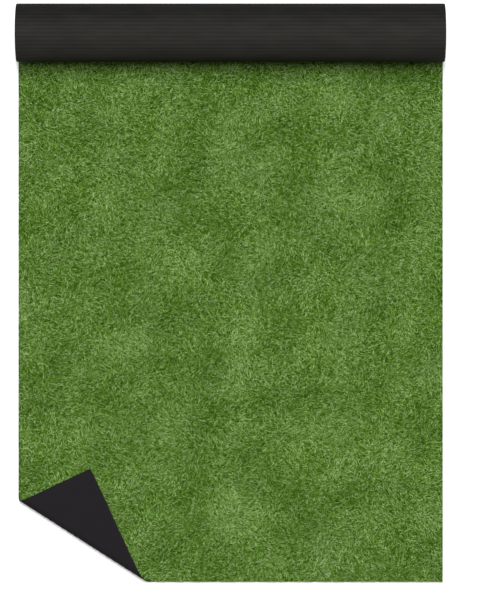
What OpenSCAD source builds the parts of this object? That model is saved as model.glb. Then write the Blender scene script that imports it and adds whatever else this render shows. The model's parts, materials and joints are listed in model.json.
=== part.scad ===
// Golf hitting mat: a rectangle of artificial turf on a rubber backing. It lies flat,
// with its far end rolled up backing outwards and its near left corner folded over.
// +Y runs along the mat to the roll, +Z is up. The origin is on the ground, at the
// middle of the mat's bounding box as it lies.

/* [Mat] */
// Width of the mat
mat_w = 1000; // [700:10:1200]
// Full length of the mat when it is all rolled out
mat_l = 2000; // [1600:10:2600]

/* [Layers] */
// Thickness of the rubber backing
rubber_t = 2; // [1:0.5:3]
// Thickness of the woven backing that the tufts are stitched into
woven_t = 1; // [0.5:0.5:1.5]
// Height of the pile above the woven backing
pile_h = 10; // [6:1:12]

/* [Roll] */
// Width of the rolled-up end, from front to back
roll_w = 136.8; // [130:0.2:160]
// Air gap between one turn of the roll and the next
turn_gap = 0.6; // [0.6:0.2:3]

/* [Folded corner] */
// Distance from the mat's corner to the fold, along the side edge
fold_side = 193; // [120:1:260]
// Distance from the mat's corner to the fold, along the end edge
fold_end = 303; // [180:1:400]
// Air gap between the folded corner's pile and the pile under it
fold_gap = 1.7; // [1:0.1:4]

/* [Hidden] */
// The layers, from the ground up. The mat bends on the line between woven backing and
// pile: the backing outside that line opens and the pile inside it closes up.
backing_t = rubber_t + woven_t;
mat_t = backing_t + pile_h;

// Neighbouring bodies stay this far clear of the bend line between them, on each side
half_gap = 0.15;

// The rolled end is a chain of flat slats that follow a spiral, each turned on from
// the one before. slat_r is a slat's distance from the roll's centre to its bend line.
slats = 22;
slats_per_turn = 12;
slat_turn = 360 / slats_per_turn;
turn_pitch = mat_t + turn_gap;
first_r = (roll_w + turn_pitch) / 2 - backing_t;
function slat_r(k) = first_r - turn_pitch * k / slats_per_turn;
function slat_l(k) = 2 * slat_r(k) * tan(slat_turn / 2);

// Slat lengths fall evenly, so the sum is the number of slats times the middle length
rolled_l = slats * slat_l((slats + 1) / 2);
flat_l = mat_l - rolled_l;

// Distance from the foot of a slat's radius to its far end, where the next one starts
function slat_reach(k) = (slat_r(k + 1) - slat_r(k) * cos(slat_turn)) / sin(slat_turn);
roll_y = flat_l - slat_reach(0);
roll_z = first_r + backing_t;

// Where slat k starts, in Y and Z: the bend line that it shares with slat k - 1
function slat_start(k) =
    let (turn = (k - 1) * slat_turn, r = slat_r(k - 1), reach = slat_reach(k - 1))
    [
        roll_y + r * sin(turn) + reach * cos(turn),
        roll_z - r * cos(turn) + reach * sin(turn)
    ];

// The slat a quarter turn on stands upright and is the mat's far end as it lies
lying_l = roll_y + slat_r(slats_per_turn / 4) + backing_t;

// The corner goes over in four equal bends, with a narrow strip between each two
bends = 4;
bend_turn = 180 / bends;
strip_w = (2 * pile_h + fold_gap) * tan(bend_turn / 2);
corner_to_fold = [fold_side, fold_end];
fold_dir = corner_to_fold / norm(corner_to_fold);
fold_bulge = strip_w * cos(bend_turn) + backing_t;
first_bend_depth = fold_side * fold_end / norm(corner_to_fold) + fold_bulge;
fold_foot = [-mat_w / 2, 0] + fold_dir * first_bend_depth;
fold_angle = atan2(-fold_dir.y, -fold_dir.x);

// Longer than any line across the mat
far = 2 * (mat_l + mat_w);

rubber_colour = "#262628";
woven_colour = "#1c1d1b";
pile_colour = "#587833";

function two_digits(k) = str(k < 10 ? "0" : "", k);
function roll_backing_name(k) = str("roll_backing_", two_digits(k));
function roll_pile_name(k) = str("roll_pile_", two_digits(k));
function fold_backing_name(k) = str("fold_backing_", k);
function fold_pile_name(k) = str("fold_pile_", k);

// Outline of a layer between two bends, in distance along the mat and in height. Its
// ends lean in by these angles from its lower face up.
function layer(from, to, low, high, from_lean, to_lean) =
    let (rise = high - low)
    [
        [from + half_gap, low],
        [to - half_gap, low],
        [to - half_gap - rise * tan(to_lean), high],
        [from + half_gap + rise * tan(from_lean), high]
    ];

// Prism across the mat, from an outline in Y and Z
module across_mat(outline) {
    rotate([90, 0, 90])
        linear_extrude(height = mat_w, center = true)
            polygon(outline);
}

// Prism along the fold, from an outline in distance past the first bend and in Z
module along_fold(outline) {
    rotate([90, 0, 0])
        linear_extrude(height = far, center = true)
            polygon(outline);
}

// Centres the mat's bounding box over the origin
module placed() {
    translate([0, -lying_l / 2, 0])
        children();
}

// Frame of the fold: X points out over the corner, Y lies along the first bend
module at_fold() {
    translate([fold_foot.x, fold_foot.y, 0])
        rotate([0, 0, fold_angle])
            children();
}

// One layer of the flat mat, seen from the frame of the fold
module flat_layer_from_fold(low, high) {
    rotate([0, 0, -fold_angle])
        translate([-mat_w / 2 - fold_foot.x, -fold_foot.y, low])
            cube([mat_w, flat_l, high - low]);
}

// Turns its children up about bend k
module bend(k) {
    translate([(k - 1) * strip_w, 0, backing_t])
        rotate([0, -bend_turn, 0])
            translate([-(k - 1) * strip_w, 0, -backing_t])
                children();
}

// Turns its children up about bends 1 to k
module bent(k) {
    if (k == 0)
        children();
    else
        bent(k - 1)
            bend(k)
                children();
}

// The flat part of one layer, without the corner past the first bend
module field_layer(low, high, roll_lean, fold_lean) {
    placed()
        intersection() {
            across_mat(layer(-half_gap, flat_l, low, high, 0, roll_lean));
            at_fold()
                along_fold(layer(-far, 0, low, high, 0, fold_lean));
        }
}

// A layer of slat k of the roll, at a height from its bend line
module roll_layer(k, low, high, lean) {
    start = slat_start(k);
    end_lean = k < slats ? lean : 0;
    placed()
        translate([0, start.x, start.y])
            rotate([k * slat_turn, 0, 0])
                across_mat(layer(0, slat_l(k), low, high, lean, end_lean));
}

// A layer of the folded corner after bend k, between two distances past the first bend
module corner_layer(k, from, to, low, high, from_lean, to_lean) {
    placed()
        at_fold()
            bent(k)
                intersection() {
                    flat_layer_from_fold(low, high);
                    along_fold(layer(from, to, low, high, from_lean, to_lean));
                }
}

module field_rubber_backing() {
    color(rubber_colour)
        field_layer(0, rubber_t, 0, 0);
}

module field_woven_backing() {
    color(woven_colour)
        field_layer(rubber_t, backing_t, 0, 0);
}

module field_pile() {
    color(pile_colour)
        field_layer(backing_t, mat_t, slat_turn / 2, bend_turn / 2);
}

module roll_backing(k) {
    color(rubber_colour)
        roll_layer(k, -backing_t, 0, 0);
}

module roll_pile(k) {
    color(pile_colour)
        roll_layer(k, 0, pile_h, slat_turn / 2);
}

module fold_backing(k) {
    color(rubber_colour)
        corner_layer(k, (k - 1) * strip_w, k * strip_w, 0, backing_t, 0, 0);
}

module fold_pile(k) {
    lean = bend_turn / 2;
    color(pile_colour)
        corner_layer(k, (k - 1) * strip_w, k * strip_w, backing_t, mat_t, lean, lean);
}

module corner_rubber_backing() {
    color(rubber_colour)
        corner_layer(bends, (bends - 1) * strip_w, far, 0, rubber_t, 0, 0);
}

module corner_woven_backing() {
    color(woven_colour)
        corner_layer(bends, (bends - 1) * strip_w, far, rubber_t, backing_t, 0, 0);
}

module corner_pile() {
    color(pile_colour)
        corner_layer(bends, (bends - 1) * strip_w, far, backing_t, mat_t, bend_turn / 2, 0);
}

field_rubber_backing();
field_woven_backing();
field_pile();
for (k = [1:slats]) {
    roll_backing(k);
    roll_pile(k);
}
for (k = [1:bends - 1]) {
    fold_backing(k);
    fold_pile(k);
}
corner_rubber_backing();
corner_woven_backing();
corner_pile();
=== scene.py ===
import json
import math

import bpy
import numpy as np
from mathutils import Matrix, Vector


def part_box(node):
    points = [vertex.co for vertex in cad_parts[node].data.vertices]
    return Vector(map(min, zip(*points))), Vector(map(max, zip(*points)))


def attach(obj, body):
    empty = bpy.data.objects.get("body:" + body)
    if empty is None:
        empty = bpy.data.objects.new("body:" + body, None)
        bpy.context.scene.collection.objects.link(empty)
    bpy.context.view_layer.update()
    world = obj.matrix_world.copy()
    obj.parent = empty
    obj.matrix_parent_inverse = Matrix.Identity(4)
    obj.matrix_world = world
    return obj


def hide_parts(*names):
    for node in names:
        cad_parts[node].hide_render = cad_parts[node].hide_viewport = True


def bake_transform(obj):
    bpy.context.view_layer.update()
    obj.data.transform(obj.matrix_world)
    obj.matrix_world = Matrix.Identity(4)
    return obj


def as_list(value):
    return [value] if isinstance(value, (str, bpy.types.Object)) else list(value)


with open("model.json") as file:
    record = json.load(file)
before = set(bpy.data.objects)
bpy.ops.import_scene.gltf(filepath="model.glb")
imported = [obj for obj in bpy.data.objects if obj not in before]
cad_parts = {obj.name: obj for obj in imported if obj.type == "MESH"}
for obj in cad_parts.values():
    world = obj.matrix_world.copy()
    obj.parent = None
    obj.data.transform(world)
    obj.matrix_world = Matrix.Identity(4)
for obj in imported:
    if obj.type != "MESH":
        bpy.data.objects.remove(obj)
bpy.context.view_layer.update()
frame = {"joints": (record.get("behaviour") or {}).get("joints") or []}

# A golf hitting mat: turf fibres on a woven backing and a ribbed rubber backing, lying
# flat with its far end rolled up and its near left corner folded over.
#
# Everything is laid out on the flat mat first: u across it, v along it, both in the row
# frame, and h above the bend line between woven backing and pile. Each stretch of the
# mat then has a function that places (u, v, h) where that stretch lies. A stretch on one
# CAD body rides on it; one that spans two stays where it is placed.

MM = 0.001

# ---- Sizes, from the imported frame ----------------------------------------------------

JOINTS = {joint["name"]: joint for joint in frame["joints"]}
PILE_LOW, PILE_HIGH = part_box("field_pile")
HALF_W = PILE_HIGH[0]
NEAR_V = PILE_LOW[1]
BACKING_T = PILE_LOW[2]
PILE_H = PILE_HIGH[2] - PILE_LOW[2]
RUBBER_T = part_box("field_rubber_backing")[1][2]
WOVEN_T = BACKING_T - RUBBER_T


def turned(degrees):
    """The unit vector at this angle."""
    return np.array([math.cos(math.radians(degrees)), math.sin(math.radians(degrees))])


# The roll's bend lines in Y and Z, the lengths of its slats and the middle of each.
# Slat 0 is the last stretch of the flat part, as long as the rest of the row implies.
SLATS = sum(name.startswith("unroll_") for name in JOINTS)
SLAT_TURN = JOINTS["unroll_01"]["range_deg"][1]
ROLL_LINES = [np.array(JOINTS[f"unroll_{k:02d}"]["pos_m"])[1:] for k in range(1, SLATS + 1)]
SLAT_LENGTHS = [np.linalg.norm(b - a) for a, b in zip(ROLL_LINES, ROLL_LINES[1:])]
SLAT_LENGTHS.insert(0, 2 * SLAT_LENGTHS[0] - SLAT_LENGTHS[1])
SLAT_LENGTHS.append(2 * SLAT_LENGTHS[-1] - SLAT_LENGTHS[-2])
ROLL_MIDDLES = [ROLL_LINES[0] - turned(0) * SLAT_LENGTHS[0] / 2] + [
    line + turned(SLAT_TURN * k) * SLAT_LENGTHS[k] / 2
    for k, line in enumerate(ROLL_LINES, start=1)
]
ROLL_END = ROLL_LINES[-1] + turned(SLAT_TURN * SLATS) * SLAT_LENGTHS[-1]

# Where each slat's middle is on the flat mat, and where the mat ends
FLAT_MIDDLES = [ROLL_MIDDLES[0][0]]
for before, after in zip(SLAT_LENGTHS, SLAT_LENGTHS[1:]):
    FLAT_MIDDLES.append(FLAT_MIDDLES[-1] + (before + after) / 2)
FAR_V = FLAT_MIDDLES[-1] + SLAT_LENGTHS[-1] / 2

# The folded corner's bend lines, in distance out over the corner and in height
BENDS = sum(name.startswith("corner_unfold_") for name in JOINTS)
BEND_TURN = JOINTS["corner_unfold_1"]["range_deg"][1]
BEND_POINTS = [np.array(JOINTS[f"corner_unfold_{k}"]["pos_m"]) for k in range(1, BENDS + 1)]
FOLD_FOOT = BEND_POINTS[0][:2]
FOLD_OUT = (BEND_POINTS[1] - BEND_POINTS[0])[:2]
FOLD_OUT = FOLD_OUT / np.linalg.norm(FOLD_OUT)
FOLD_ALONG = np.array([-FOLD_OUT[1], FOLD_OUT[0]])
FOLD_LINES = [np.array([(p[:2] - FOLD_FOOT) @ FOLD_OUT, p[2]]) for p in BEND_POINTS]
STRIP_W = np.linalg.norm(FOLD_LINES[1] - FOLD_LINES[0])
FOLD_MIDDLES = [FOLD_LINES[0] - turned(0) * STRIP_W / 2] + [
    line + turned(BEND_TURN * k) * STRIP_W / 2 for k, line in enumerate(FOLD_LINES, start=1)
]
# The fold's first stretch starts half a strip before its first bend line
FOLD_START = -STRIP_W / 2
CORNER = np.array([-HALF_W, NEAR_V])
CORNER_DEPTH = (CORNER - FOLD_FOOT) @ FOLD_OUT


def past_fold(u, v):
    """How far flat points are past the first bend line, towards the corner."""
    return (u - FOLD_FOOT[0]) * FOLD_OUT[0] + (v - FOLD_FOOT[1]) * FOLD_OUT[1]


# ---- Placing the flat mat ------------------------------------------------------------

# Handle lengths that make a cubic curve over a corner close to an arc, as a share of
# the distance to the corner, for the roll's turns and for the fold's
ROLL_EASE, FOLD_EASE = 0.655, 0.640


def rounded(start, corner, end, ease, length):
    """Places a stretch in its own plane on a curve that rounds off one corner.

    The result takes distances along the stretch, which go straight on past either end,
    and heights, which are to the left of the way along."""
    first, second = start + (corner - start) * ease, end + (corner - end) * ease

    def place(distance, height):
        share = distance / length
        t = np.clip(share, 0, 1)[:, None]
        point = (
            start * (1 - t) ** 3
            + 3 * first * t * (1 - t) ** 2
            + 3 * second * t**2 * (1 - t)
            + end * t**3
        )
        way = (
            (first - start) * (1 - t) ** 2
            + 2 * (second - first) * t * (1 - t)
            + (end - second) * t**2
        )
        way /= np.linalg.norm(way, axis=1)[:, None]
        point += way * ((share - t[:, 0]) * length)[:, None]
        left = np.stack([-way[:, 1], way[:, 0]], axis=1)
        return point + left * height[:, None]

    return place


def place_flat(points):
    """Places (u, v, h) points of the flat part."""
    return points + np.array([0, 0, BACKING_T])


def roll_placer(start, corner, end, from_v, to_v):
    """A function that places (u, v, h) points of a stretch of the roll."""
    curve = rounded(start, corner, end, ROLL_EASE, to_v - from_v)

    def place(points):
        across = curve(points[:, 1] - from_v, points[:, 2])
        return np.stack([points[:, 0], across[:, 0], across[:, 1]], axis=1)

    return place


def fold_placer(start, corner, end, from_s, to_s):
    """A function that places (u, v, h) points of a stretch of the folded corner."""
    curve = rounded(start, corner, end, FOLD_EASE, to_s - from_s)

    def place(points):
        past = past_fold(points[:, 0], points[:, 1])
        along = (points[:, :2] - FOLD_FOOT) @ FOLD_ALONG
        out = curve(past - from_s, points[:, 2])
        flat = FOLD_FOOT + out[:, :1] * FOLD_OUT + along[:, None] * FOLD_ALONG
        return np.column_stack([flat, out[:, 1]])

    return place


# ---- Meshes --------------------------------------------------------------------------


def new_piece(name, points, faces, materials, slots=None, attributes=None):
    """A mesh piece from arrays: faces is a list of (n, corners) index arrays."""
    mesh = bpy.data.meshes.new(name)
    mesh.vertices.add(len(points))
    mesh.vertices.foreach_set("co", np.asarray(points, np.float32).ravel())
    loops = np.concatenate([f.ravel() for f in faces]).astype(np.int32)
    sizes = np.concatenate([np.full(len(f), f.shape[1]) for f in faces])
    starts = np.concatenate([[0], np.cumsum(sizes)[:-1]]).astype(np.int32)
    mesh.loops.add(len(loops))
    mesh.loops.foreach_set("vertex_index", loops)
    mesh.polygons.add(len(sizes))
    mesh.polygons.foreach_set("loop_start", starts)
    if slots is not None:
        mesh.polygons.foreach_set("material_index", slots.astype(np.int32))
    for title, values in (attributes or {}).items():
        layer = mesh.attributes.new(title, "FLOAT", "POINT")
        layer.data.foreach_set("value", np.asarray(values, np.float32))
    mesh.update(calc_edges=True)
    for material in materials:
        mesh.materials.append(material)
    piece = bpy.data.objects.new(name, mesh)
    bpy.context.scene.collection.objects.link(piece)
    return piece


RIB_PITCH = 9.6 * MM
RIB_DEPTH = 0.5 * MM
RIB_STEP = 1.6 * MM
EDGE_ROUNDING = 0.8 * MM
EDGE_STEPS = np.array([0, 0.6, 1.3, 2.1, 3.0]) * MM
SHARP_ANGLE = math.radians(40)


def groove(v):
    """0 on the crest of a rib and 1 in the groove between two, which run across."""
    return (0.5 - 0.5 * np.cos(2 * math.pi * v / RIB_PITCH)) ** 2


def rubber_face(flat):
    """How far the rubber's lower face is drawn in: grooves, and rounded side edges."""
    from_side = (HALF_W - np.abs(flat[:, 0])) / EDGE_STEPS[-1]
    rounding = EDGE_ROUNDING * (1 - np.clip(from_side, 0, 1)) ** 2
    return np.maximum(RIB_DEPTH * groove(flat[:, 1]), rounding)


def layered_sheet(name, flat_rows, heights, materials, place, ribbed):
    """A closed sheet over a grid of flat points, with one material for each layer.

    flat_rows is an array of rows, columns and (u, v). heights are those of the layers'
    faces, from the underside up."""
    rows, columns = flat_rows.shape[:2]
    flat = flat_rows.reshape(-1, 2)
    under = np.full(len(flat), heights[0]) + (rubber_face(flat) if ribbed else 0)
    over = np.full(len(flat), heights[-1])
    index = np.arange(rows * columns).reshape(rows, columns)
    quads = np.stack(
        [index[:-1, :-1], index[:-1, 1:], index[1:, 1:], index[1:, :-1]], axis=-1
    ).reshape(-1, 4)
    rim = np.concatenate(
        [index[0, :-1], index[:-1, -1], index[-1, :0:-1], index[:0:-1, 0]]
    )

    # Rings of points round the rim, one for each face between two layers
    levels = [rim]
    points = [np.column_stack([flat, under])]
    for level, height in enumerate(heights[1:-1]):
        points.append(np.column_stack([flat[rim], np.full(len(rim), height)]))
        levels.append(2 * len(flat) + level * len(rim) + np.arange(len(rim)))
    points.insert(1, np.column_stack([flat, over]))
    levels.append(rim + len(flat))

    faces, slots = [quads[:, ::-1], quads + len(flat)], [0, len(materials) - 1]
    for layer, (low, high) in enumerate(zip(levels, levels[1:])):
        faces.append(np.stack([low, np.roll(low, -1), np.roll(high, -1), high], axis=1))
        slots.append(layer)
    slot_list = np.concatenate([np.full(len(f), s) for f, s in zip(faces, slots)])
    points = np.concatenate(points)
    crest = 1 - groove(points[:, 1])
    piece = new_piece(name, place(points), faces, materials, slot_list, {"crest": crest})
    piece.data.shade_smooth()
    piece.data.set_sharp_from_angle(angle=SHARP_ANGLE)
    return piece


def spaced(start, end, step):
    """Even steps from start to end, no longer than step."""
    return np.linspace(start, end, max(2, math.ceil((end - start) / step) + 1))


def rows_across(from_v, to_v):
    """Flat rows across the whole mat, or up to where the fold starts near the corner."""
    v = spaced(from_v, to_v, RIB_STEP)
    fold_u = FOLD_FOOT[0] + (FOLD_START - (v - FOLD_FOOT[1]) * FOLD_OUT[1]) / FOLD_OUT[0]
    left = np.maximum(-HALF_W, fold_u)[:, None]
    right = np.full_like(left, HALF_W)
    middle = (left + right) / 2
    u = np.concatenate([left + EDGE_STEPS, middle, right - EDGE_STEPS[::-1]], axis=1)
    return np.stack([u, np.repeat(v[:, None], u.shape[1], axis=1)], axis=-1)


def rows_along_fold(from_s, to_s, steps):
    """Flat rows along the fold, from the mat's side edge to its end edge."""
    s = np.linspace(from_s, to_s, steps)
    line = FOLD_FOOT + s[:, None] * FOLD_OUT
    side = line + ((-HALF_W - line[:, :1]) / FOLD_ALONG[0]) * FOLD_ALONG
    end = line + ((NEAR_V - line[:, 1:]) / FOLD_ALONG[1]) * FOLD_ALONG
    columns = math.ceil(np.linalg.norm(end[0] - side[0]) / RIB_STEP)
    share = np.linspace(0, 1, columns)[None, :, None]
    return side[:, None] + (end - side)[:, None] * share


# ---- Turf ----------------------------------------------------------------------------

SEED = 7

# Tufts stand on a grid, moved off it by up to a share of its spacing, and each tuft's
# blades spread out round it
TUFT_SPACING = 5.4 * MM
TUFT_JITTER = 0.35
TUFT_SPREAD = 1.9 * MM
BLADES_PER_TUFT = 8

# The way the blades lean follows swirls over the mat, with some stray, in radians. A
# good part of them lean the opposite way.
SWIRL, SWIRL_SIZE = 0.8, 120 * MM
STRAY = 0.6
BACKWARDS = 0.42

# Lengths, heights and widths of the blades in millimetres, and how far a blade reaches
# sideways as a share of what its length allows. Long blades get rarer with LONG_RARITY.
LONG_RARITY = 3
SHORTEST, SHORT_SPREAD, LONG_EXTRA = 11.0, 3.0, 9.0
HEIGHT, HEIGHT_SPREAD, HEIGHT_EXTRA = 7.4, 1.3, 2.2
LOWEST, HIGHEST = 4.5, 10.2
REACH = 0.80
NARROWEST, WIDEST, LONG_NARROWER = 1.10, 1.60, 0.3

# How far a blade's width tilts at most, and how much its way turns towards its tip, in
# radians
TWIST, CURL = 0.7, 0.30

# Tones from 0 to 1: that of a short blade, what a long one adds as a painted highlight,
# the spread between blades, and the soft patches over the mat
TONE, TONE_PAINTED_HIGHLIGHT, TONE_SPREAD = 0.39, 0.32, 0.36
PATCH_TONE, PATCH_SIZE = 0.06, 170 * MM

# A blade's five points: the two sides of its root, the two of its shoulder, and its
# tip, as shares of its reach, height and width. ALONG_BLADE runs from root to tip.
SHOULDER_OUT, SHOULDER_UP, TIP_UP = 0.42, 0.74, 0.96
ROOT_UP, ROOT_SIDE, SHOULDER_SIDE = -0.02, 0.45, 0.5

BLADE_POINTS = 5
ALONG_BLADE = np.array([0, 0, 0.6, 0.6, 1.0])

# How far blades may reach below the bend line, into the weave, and above the pile's box
ROOT_DEPTH, PROUD = 0.2 * MM, 0.3 * MM

# How many plane waves make up the noise, and their lengths as shares of its wavelength
NOISE_WAVES = 14
SHORTEST_WAVE, LONGEST_WAVE = 0.6, 1.7


def rolling_noise(u, v, wavelength, rng):
    """Smooth noise of about unit size over the flat mat, from plane waves."""
    total = np.zeros_like(u)
    for _ in range(NOISE_WAVES):
        way = rng.uniform(0, 2 * math.pi)
        length = wavelength * rng.uniform(SHORTEST_WAVE, LONGEST_WAVE)
        phase = rng.uniform(0, 2 * math.pi)
        along = (u * math.cos(way) + v * math.sin(way)) / length
        total += np.sin(2 * math.pi * along + phase)
    return total / math.sqrt(NOISE_WAVES / 2)


def grow_turf():
    """Every blade on the flat mat: its root (u, v), its points (u, v, h) and its tone."""
    rng = np.random.default_rng(SEED)
    us = np.arange(-HALF_W + TUFT_SPACING / 2, HALF_W, TUFT_SPACING)
    vs = np.arange(NEAR_V + TUFT_SPACING / 2, FAR_V, TUFT_SPACING)
    tufts = np.stack(np.meshgrid(us, vs), axis=-1).reshape(-1, 2)
    tufts += rng.uniform(-TUFT_JITTER, TUFT_JITTER, tufts.shape) * TUFT_SPACING
    tuft_way = SWIRL * rolling_noise(tufts[:, 0], tufts[:, 1], SWIRL_SIZE, rng)
    tuft_tone = PATCH_TONE * rolling_noise(tufts[:, 0], tufts[:, 1], PATCH_SIZE, rng)

    root = np.repeat(tufts, BLADES_PER_TUFT, axis=0)
    root += rng.normal(0, TUFT_SPREAD, root.shape)
    root[:, 0] = np.clip(root[:, 0], -HALF_W, HALF_W)
    root[:, 1] = np.clip(root[:, 1], NEAR_V, FAR_V)
    count = len(root)
    way = np.repeat(tuft_way, BLADES_PER_TUFT) + rng.normal(0, STRAY, count)
    way += math.pi * (rng.random(count) < BACKWARDS)
    # A few long blades lie across the many short ones and catch the most light; their lighter
    # tone is a painted highlight
    long = rng.random(count) ** LONG_RARITY
    length = SHORTEST + rng.uniform(0, SHORT_SPREAD, count) + LONG_EXTRA * long
    height = rng.normal(HEIGHT, HEIGHT_SPREAD, count) + HEIGHT_EXTRA * long
    height = np.clip(height, LOWEST, HIGHEST)
    reach = REACH * np.sqrt(length**2 - height**2) * MM
    height = height * MM
    width = (rng.uniform(NARROWEST, WIDEST, count) - LONG_NARROWER * long) * MM
    twist = rng.uniform(-TWIST, TWIST, count)
    curl = rng.normal(0, CURL, count)
    # Long blades get a lighter tone: a painted highlight
    tone = TONE + TONE_PAINTED_HIGHLIGHT * long + rng.normal(0, TONE_SPREAD, count)
    tone = np.clip(tone + np.repeat(tuft_tone, BLADES_PER_TUFT), 0, 1)

    def point(out_share, up_share, side_share):
        turn = way + curl * out_share
        out = np.column_stack([np.cos(turn), np.sin(turn)])
        side = np.column_stack([-np.sin(turn), np.cos(turn)])
        across = width * side_share
        flat = root + out * (reach * out_share)[:, None]
        flat += side * (across * np.cos(twist))[:, None]
        return np.column_stack([flat, height * up_share + across * np.sin(twist)])

    blades = np.stack(
        [
            point(0.0, ROOT_UP, -ROOT_SIDE),
            point(0.0, ROOT_UP, ROOT_SIDE),
            point(SHOULDER_OUT, SHOULDER_UP, SHOULDER_SIDE),
            point(SHOULDER_OUT, SHOULDER_UP, -SHOULDER_SIDE),
            point(1.0, TIP_UP, 0.0),
        ],
        axis=1,
    )
    # The mat is cut straight through its fibres, so none reaches past its edges
    blades[..., 0] = np.clip(blades[..., 0], -HALF_W, HALF_W)
    blades[..., 1] = np.clip(blades[..., 1], NEAR_V, FAR_V)
    blades[..., 2] = np.clip(blades[..., 2], -ROOT_DEPTH, PILE_H + PROUD)
    return root, blades, tone


ROOTS, BLADES, TONES = grow_turf()


def turf_piece(name, chosen, place):
    """The blades that are chosen, as one piece."""
    blades, tones = BLADES[chosen], TONES[chosen]
    first = np.arange(len(blades))[:, None] * BLADE_POINTS
    return new_piece(
        name,
        place(blades.reshape(-1, 3)),
        [first + np.array([0, 1, 2, 3]), first + np.array([3, 2, 4])],
        [TURF],
        attributes={
            "tone": np.repeat(tones, BLADE_POINTS),
            "along": np.tile(ALONG_BLADE, len(blades)),
        },
    )


# ---- Materials -----------------------------------------------------------------------


class Surface:
    """A material with one Principled shader, and short calls that add nodes to it."""

    def __init__(self, name):
        self.material = bpy.data.materials.new(name)
        self.material.use_nodes = True
        self.tree = self.material.node_tree
        self.shader = self.tree.nodes["Principled BSDF"]
        self.place = self.node("ShaderNodeTexCoord").outputs["Object"]

    def node(self, kind, **settings):
        made = self.tree.nodes.new(kind)
        for key, value in settings.items():
            setattr(made, key, value)
        return made

    def link(self, source, target):
        self.tree.links.new(source, target)

    def noise(self, scale, detail=2.0, stretch=(1, 1, 1)):
        spread = self.node("ShaderNodeMapping")
        spread.inputs["Scale"].default_value = stretch
        self.link(self.place, spread.inputs["Vector"])
        made = self.node("ShaderNodeTexNoise")
        made.inputs["Scale"].default_value = scale
        made.inputs["Detail"].default_value = detail
        self.link(spread.outputs["Vector"], made.inputs["Vector"])
        return made.outputs["Fac"]

    def attribute(self, title):
        return self.node("ShaderNodeAttribute", attribute_name=title).outputs["Fac"]

    def ramp(self, value, stops):
        made = self.node("ShaderNodeValToRGB")
        elements = made.color_ramp.elements
        while len(elements) < len(stops):
            elements.new(0.5)
        for element, (position, colour) in zip(elements, stops):
            element.position = position
            element.color = (*colour, 1)
        self.link(value, made.inputs["Fac"])
        return made.outputs["Color"]

    def ranged(self, value, low, high, from_low=0.3, from_high=0.7):
        """Maps a value to a range. Noise lies mostly between 0.3 and 0.7."""
        made = self.node("ShaderNodeMapRange")
        for key, number in (
            ("From Min", from_low),
            ("From Max", from_high),
            ("To Min", low),
            ("To Max", high),
        ):
            made.inputs[key].default_value = number
        self.link(value, made.inputs["Value"])
        return made.outputs["Result"]

    def maths(self, operation, one, other):
        made = self.node("ShaderNodeMath", operation=operation)
        for target, source in zip(made.inputs, (one, other)):
            if isinstance(source, (int, float)):
                target.default_value = source
            else:
                self.link(source, target)
        return made.outputs[0]

    def scaled(self, colour, value):
        made = self.node("ShaderNodeVectorMath", operation="SCALE")
        self.link(colour, made.inputs[0])
        self.link(value, made.inputs["Scale"])
        return made.outputs[0]

    def bump(self, height, distance, strength=1.0):
        made = self.node("ShaderNodeBump")
        made.inputs["Strength"].default_value = strength
        made.inputs["Distance"].default_value = distance
        self.link(height, made.inputs["Height"])
        self.link(made.outputs["Normal"], self.shader.inputs["Normal"])

    def finish(self, colour, roughness, specular):
        self.link(colour, self.shader.inputs["Base Color"])
        self.link(roughness, self.shader.inputs["Roughness"])
        self.shader.inputs["Specular IOR Level"].default_value = specular
        return self.material


FINE_BUMP, COARSE_BUMP = 0.4, 0.7

# The blades' greens, from the darkest tone to the lightest
GREENS = [
    (0.00, (0.024, 0.070, 0.001)),
    (0.45, (0.086, 0.200, 0.010)),
    (0.75, (0.163, 0.302, 0.056)),
    (1.00, (0.320, 0.460, 0.178)),
]
PATCH_SCALE, PATCH_RANGE = 7.0, (0.88, 1.10)
# Blades darken towards the root: painted shade deep in the pile
ROOT_SHADE, SHADED_SHARE = 0.62, 0.6
STREAK_SCALE, STREAK_DEPTH = 1400.0, 0.1 * MM
TURF_ROUGHNESS, TURF_SPECULAR = (0.45, 0.68), 0.12


def turf_material():
    """Synthetic fibres in several greens, with painted shade towards the root, and faint
    streaks.
    """
    turf = Surface("turf_fibres")
    greens = turf.ramp(turf.attribute("tone"), GREENS)
    patches = turf.ranged(turf.noise(PATCH_SCALE, detail=3.0), *PATCH_RANGE)
    # Painted shade towards each blade's root
    painted_root_shade = turf.ranged(turf.attribute("along"), ROOT_SHADE, 1.0, 0.0, SHADED_SHARE)
    colour = turf.scaled(greens, turf.maths("MULTIPLY", patches, painted_root_shade))
    streaks = turf.noise(STREAK_SCALE)
    turf.bump(streaks, STREAK_DEPTH, FINE_BUMP)
    return turf.finish(colour, turf.ranged(streaks, *TURF_ROUGHNESS), TURF_SPECULAR)


# Painted light: the rubber is lighter where it faces up and a little towards the near end
PAINTED_LIGHT_WAY, PAINTED_LIGHT_RANGE = (0, -0.50, 0.87), (0.30, 0.86)
GRAIN_SCALE, GRAIN_DEPTH = 1100.0, 0.15 * MM
BLOOM_SCALE, BLOOM_STRETCH, BLOOM_RANGE = 14.0, (1.0, 3.0, 3.0), (-0.08, 0.20)
RUBBER_ROUGHNESS, RUBBER_SPECULAR = (0.62, 0.86), 0.035


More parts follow.
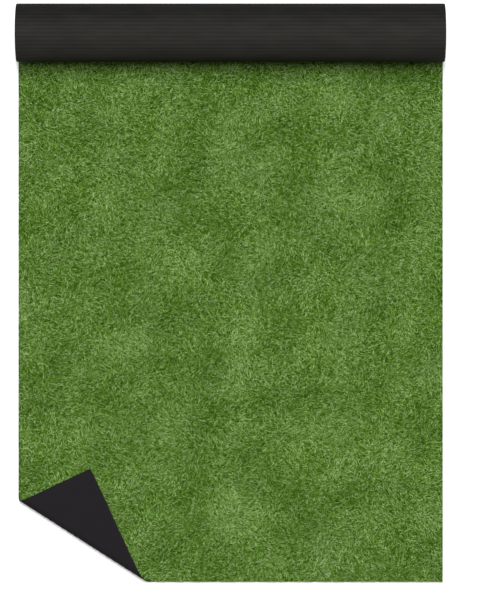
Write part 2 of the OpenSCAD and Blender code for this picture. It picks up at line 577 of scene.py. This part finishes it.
def rubber_material(name, clean, dusty_and_lit, painted_crest_share, painted_light_share):
    """Black rubber with a fine grain and a faint bloom of dust all over, lightened by painted
    light on the crests of the ribs and on what faces up and towards the near end."""
    rubber = Surface(name)
    grain = rubber.noise(GRAIN_SCALE, detail=4.0)
    bloom = rubber.noise(BLOOM_SCALE, detail=4.0, stretch=BLOOM_STRETCH)
    # Painted light on the crests of the ribs, which leaves painted shade in the grooves
    crest = rubber.ranged(rubber.attribute("crest"), 0.0, painted_crest_share, 0.0, 1.0)
    # Painted light where the rubber faces up and towards the near end
    facing = rubber.node("ShaderNodeVectorMath", operation="DOT_PRODUCT")
    facing.inputs[1].default_value = PAINTED_LIGHT_WAY
    rubber.link(rubber.node("ShaderNodeNewGeometry").outputs["Normal"], facing.inputs[0])
    painted_light = rubber.ranged(facing.outputs["Value"], 0.0, painted_light_share, *PAINTED_LIGHT_RANGE)
    shade = rubber.maths("ADD", crest, rubber.ranged(bloom, *BLOOM_RANGE))
    colour = rubber.ramp(rubber.maths("ADD", shade, painted_light), [(0.0, clean), (1.0, dusty_and_lit)])
    rubber.bump(grain, GRAIN_DEPTH, FINE_BUMP)
    return rubber.finish(colour, rubber.ranged(grain, *RUBBER_ROUGHNESS), RUBBER_SPECULAR)


WEAVE_SCALE, WEAVE_WANDER, WEAVE_DEPTH = 330.0, 0.6, 0.2 * MM
DUST_SCALE = 160.0
WOVEN_ROUGHNESS, WOVEN_SPECULAR = (0.7, 0.9), 0.08
WOVEN_GREENS = [(0.0, (0.020, 0.060, 0.003)), (0.6, (0.045, 0.120, 0.006))]


def woven_material():
    """Black tape weave, dusted green by the fibres stitched through it."""
    woven = Surface("woven_tape")
    tapes = []
    for direction in ("X", "Y"):
        wave = woven.node("ShaderNodeTexWave", bands_direction=direction)
        wave.inputs["Scale"].default_value = WEAVE_SCALE
        wave.inputs["Distortion"].default_value = WEAVE_WANDER
        woven.link(woven.place, wave.inputs["Vector"])
        tapes.append(wave.outputs["Fac"])
    weave = woven.maths("MULTIPLY", *tapes)
    dust = woven.noise(DUST_SCALE, detail=3.0)
    colour = woven.ramp(woven.maths("MULTIPLY", weave, dust), WOVEN_GREENS)
    woven.bump(weave, WEAVE_DEPTH, COARSE_BUMP)
    return woven.finish(colour, woven.ranged(dust, *WOVEN_ROUGHNESS), WOVEN_SPECULAR)


FLOOR_GREYS = [(0.0, (0.86, 0.86, 0.86)), (1.0, (0.88, 0.88, 0.88))]
FLOOR_TINT_SCALE, FLOOR_GRAIN_SCALE = 3.0, 40.0
FLOOR_ROUGHNESS, FLOOR_SPECULAR = (0.75, 0.85), 0.2


def floor_material():
    """A plain, nearly even light grey."""
    floor = Surface("pale_floor")
    tint = floor.ramp(floor.noise(FLOOR_TINT_SCALE), FLOOR_GREYS)
    roughness = floor.ranged(floor.noise(FLOOR_GRAIN_SCALE), *FLOOR_ROUGHNESS)
    return floor.finish(tint, roughness, FLOOR_SPECULAR)


TURF, WOVEN = turf_material(), woven_material()
# The flat rubber gets only faint painted light on its crests and where it faces up
FLAT_RUBBER = rubber_material(
    "rubber",
    clean=(0.0110, 0.0098, 0.0112),
    dusty_and_lit=(0.0126, 0.0113, 0.0127),
    painted_crest_share=0.05,
    painted_light_share=0.40,
)
# The rubber on the roll is a copy with far stronger painted light and shade: darker in the
# grooves and on the far side, lighter on its top and towards the near end
ROLLED_RUBBER = rubber_material(
    "rolled_rubber_painted_light",
    clean=(0.0058, 0.0056, 0.0056),
    dusty_and_lit=(0.0212, 0.0202, 0.0176),
    painted_crest_share=0.25,
    painted_light_share=0.60,
)

# ---- The mat, stretch by stretch -----------------------------------------------------

UNDERSIDE, RUBBER_TOP, WOVEN_TOP = -BACKING_T, -WOVEN_T, 0.0
PAST = past_fold(ROOTS[:, 0], ROOTS[:, 1])
FIELD_END = FLAT_MIDDLES[0]
FIELD_BANDS = 6
FOLD_ROWS = 9
TIP_GAP = 0.05 * MM

# The backing sheets of a stretch that stays flat: name, faces, material, and ribs or not
FLAT_LAYERS = (
    ("rubber", (UNDERSIDE, RUBBER_TOP), FLAT_RUBBER, True),
    ("woven", (RUBBER_TOP, WOVEN_TOP), WOVEN, False),
)


def stand_for(piece, slot, bodies, line, *nodes):
    """Rides the piece on one body, or leaves it where it is placed if it spans two; then hides
    the CAD nodes.
    """
    if len(bodies) == 1:
        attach(piece, bodies[0])
    else:
        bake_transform(piece)
    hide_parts(*nodes)


def field():
    """The flat part: two backing sheets, and the turf in bands that each stay small."""
    rows = rows_across(NEAR_V, FIELD_END)
    for layer, heights, material, ribbed in FLAT_LAYERS:
        sheet = layered_sheet(
            f"{layer}_sheet_field", rows, heights, [material], place_flat, ribbed
        )
        stand_for(sheet, f"{layer}_backing", ["field"], None, f"field_{layer}_backing")
    edges = np.linspace(NEAR_V, FIELD_END, FIELD_BANDS + 1)
    edges[0] -= MM
    for band in range(FIELD_BANDS):
        inside = (ROOTS[:, 1] > edges[band]) & (ROOTS[:, 1] <= edges[band + 1])
        piece = turf_piece(f"turf_field_{band + 1}", inside & (PAST <= FOLD_START), place_flat)
        stand_for(piece, "pile", ["field"], None, "field_pile")


def roll_stretch(number, bodies, line, from_v, to_v, place, slat):
    """One stretch of the roll: backing and turf."""
    rows = rows_across(from_v, to_v)
    backing = layered_sheet(
        f"backing_roll_{number:02d}",
        rows,
        (UNDERSIDE, RUBBER_TOP, WOVEN_TOP),
        [ROLLED_RUBBER, WOVEN],
        place,
        True,
    )
    stand_for(backing, "rubber_backing", bodies, line, f"roll_backing_{slat:02d}")
    chosen = (ROOTS[:, 1] > from_v) & (ROOTS[:, 1] <= to_v)
    turf = turf_piece(f"turf_roll_{number:02d}", chosen, place)
    stand_for(turf, "pile", bodies, line, f"roll_pile_{slat:02d}")


def roll():
    """The rolled end: from the middle of each slat to the next, then the last half."""
    names = ["field"] + [f"roll_{k:02d}" for k in range(1, SLATS + 1)]
    for k in range(1, SLATS + 1):
        start, end = ROLL_MIDDLES[k - 1], ROLL_MIDDLES[k]
        span = FLAT_MIDDLES[k - 1], FLAT_MIDDLES[k]
        line = (0, *start), (0, *end)
        place = roll_placer(start, ROLL_LINES[k - 1], end, *span)
        roll_stretch(k, names[k - 1 : k + 1], line, *span, place, k)
    start, span = ROLL_MIDDLES[SLATS], (FLAT_MIDDLES[SLATS], FAR_V)
    place = roll_placer(start, (start + ROLL_END) / 2, ROLL_END, *span)
    roll_stretch(SLATS + 1, names[-1:], None, *span, place, SLATS)


def fold_turf(name, place, from_s, to_s):
    """The turf between two lines along the fold."""
    return turf_piece(name, (PAST > from_s) & (PAST <= to_s), place)


def fold():
    """The bend of the folded corner: a stretch over each bend line. Returns the backings
    of the stretches."""
    names = ["field"] + [f"fold_{k}" for k in range(1, BENDS)] + ["corner"]
    backings = []
    for k in range(1, BENDS + 1):
        start, end = FOLD_MIDDLES[k - 1], FOLD_MIDDLES[k]
        span = (k - 1.5) * STRIP_W, (k - 0.5) * STRIP_W
        line = [(*(FOLD_FOOT + FOLD_OUT * point[0]), point[1]) for point in (start, end)]
        place = fold_placer(start, FOLD_LINES[k - 1], end, *span)
        backing = layered_sheet(
            f"backing_fold_{k}",
            rows_along_fold(*span, FOLD_ROWS),
            (UNDERSIDE, RUBBER_TOP, WOVEN_TOP),
            [FLAT_RUBBER, WOVEN],
            place,
            True,
        )
        strip = min(k, BENDS - 1)
        bodies = names[k - 1 : k + 1]
        stand_for(backing, "rubber_backing", bodies, line, f"fold_backing_{strip}")
        turf = fold_turf(f"turf_fold_{k}", place, *span)
        stand_for(turf, "pile", bodies, line, f"fold_pile_{strip}")
        backings.append(backing)
    return backings


def corner(bend_backings):
    """The corner itself, upside down on the turf."""
    from_s, tip = (BENDS - 0.5) * STRIP_W, CORNER_DEPTH - TIP_GAP
    start = FOLD_MIDDLES[BENDS]
    end = start + turned(BEND_TURN * BENDS) * (CORNER_DEPTH - from_s)
    place = fold_placer(start, (start + end) / 2, end, from_s, CORNER_DEPTH)
    rows = rows_along_fold(from_s, tip, math.ceil((tip - from_s) / RIB_STEP))
    for layer, heights, material, ribbed in FLAT_LAYERS:
        sheet = layered_sheet(
            f"{layer}_sheet_corner", rows, heights, [material], place, ribbed
        )
        stand_for(sheet, f"{layer}_backing", ["corner"], None, f"corner_{layer}_backing")
        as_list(bend_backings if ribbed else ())
    turf = fold_turf("turf_corner", place, from_s, CORNER_DEPTH + MM)
    stand_for(turf, "pile", ["corner"], None, "corner_pile")


# ---- Floor, light and camera ---------------------------------------------------------

FLOOR_HALF, FLOOR_BELOW = 30.0, 0.3 * MM

# The camera's height over the turf, and the middle and height of what it sees there
CAMERA_HEIGHT = 7.8
VIEW_HEIGHT = 1.4015
VIEW_CENTRE_X = 22.1 * MM
VIEW_CENTRE_FROM_NEAR_EDGE = 0.670
SENSOR = 36.0
CLIP_START, CLIP_END = 0.1, 100.0

LAMP_SIZE, LAMP_POWER = (1.8, 8.4), 2900.0
LAMP_PLACE = (0, 4.2, 14.0)
SURROUND_STRENGTH = 0.30


def stage():
    """A plain pale floor."""
    points = FLOOR_HALF * np.array([(-1, -1, 0), (1, -1, 0), (1, 1, 0), (-1, 1, 0)])
    floor = new_piece("floor", points, [np.array([[0, 1, 2, 3]])], [floor_material()])
    floor.location.z = -FLOOR_BELOW


def camera():
    """Straight down over the mat, with the roll at the top of the picture."""
    lens = bpy.data.cameras.new("camera")
    lens.sensor_width = SENSOR
    lens.lens = SENSOR * CAMERA_HEIGHT / VIEW_HEIGHT
    lens.clip_start, lens.clip_end = CLIP_START, CLIP_END
    made = bpy.data.objects.new("camera", lens)
    bpy.context.scene.collection.objects.link(made)
    made.location = (
        VIEW_CENTRE_X,
        NEAR_V + VIEW_CENTRE_FROM_NEAR_EDGE,
        BACKING_T + PILE_H + CAMERA_HEIGHT,
    )
    bpy.context.scene.camera = made


def light():
    """A long soft light overhead, from straight above the roll back to behind it, and
    an even surround."""
    lamp = bpy.data.lights.new("overhead", "AREA")
    lamp.shape = "RECTANGLE"
    lamp.size, lamp.size_y = LAMP_SIZE
    lamp.energy = LAMP_POWER
    made = bpy.data.objects.new("overhead", lamp)
    bpy.context.scene.collection.objects.link(made)
    made.location = LAMP_PLACE
    made.rotation_euler = (-math.atan2(LAMP_PLACE[1], LAMP_PLACE[2]), 0, 0)
    world = bpy.data.worlds.new("surround")
    world.use_nodes = True
    background = world.node_tree.nodes["Background"]
    background.inputs["Color"].default_value = (1, 1, 1, 1)
    background.inputs["Strength"].default_value = SURROUND_STRENGTH
    bpy.context.scene.world = world
    bpy.context.scene.view_settings.view_transform = "Standard"


stage()
camera()
light()
field()
roll()
corner(fold())
